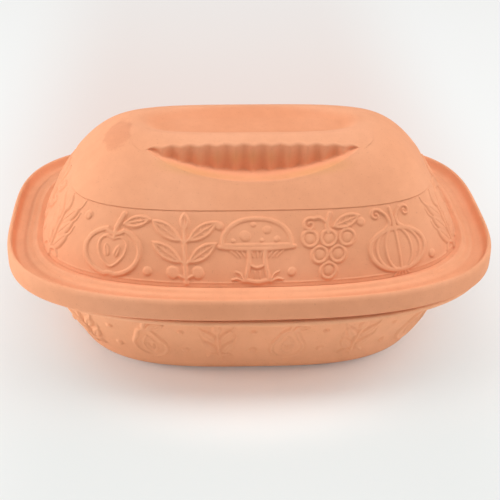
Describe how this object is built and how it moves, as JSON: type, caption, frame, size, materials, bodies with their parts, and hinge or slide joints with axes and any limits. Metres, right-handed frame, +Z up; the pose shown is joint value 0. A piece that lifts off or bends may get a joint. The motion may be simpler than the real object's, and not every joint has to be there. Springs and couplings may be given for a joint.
{
  "type": "covered clay roaster",
  "caption": "Oval unglazed clay roasting pot with a flanged rim and a domed lid with fluted finger recesses and a relief frieze.",
  "frame": {"origin": "centre of the pot's foot on the table, which is the bottom centre of the bounding box", "axes": "+X along the roaster's length, +Y from the pictured front to the back, +Z up"},
  "size_m": [0.345, 0.24, 0.158],
  "materials": {
    "pot": "matte, unglazed",
    "lid": "matte, unglazed"
  },
  "bodies": {
    "root": {"pot": "pot", "lid": "lid"}
  },
  "joints": []
}
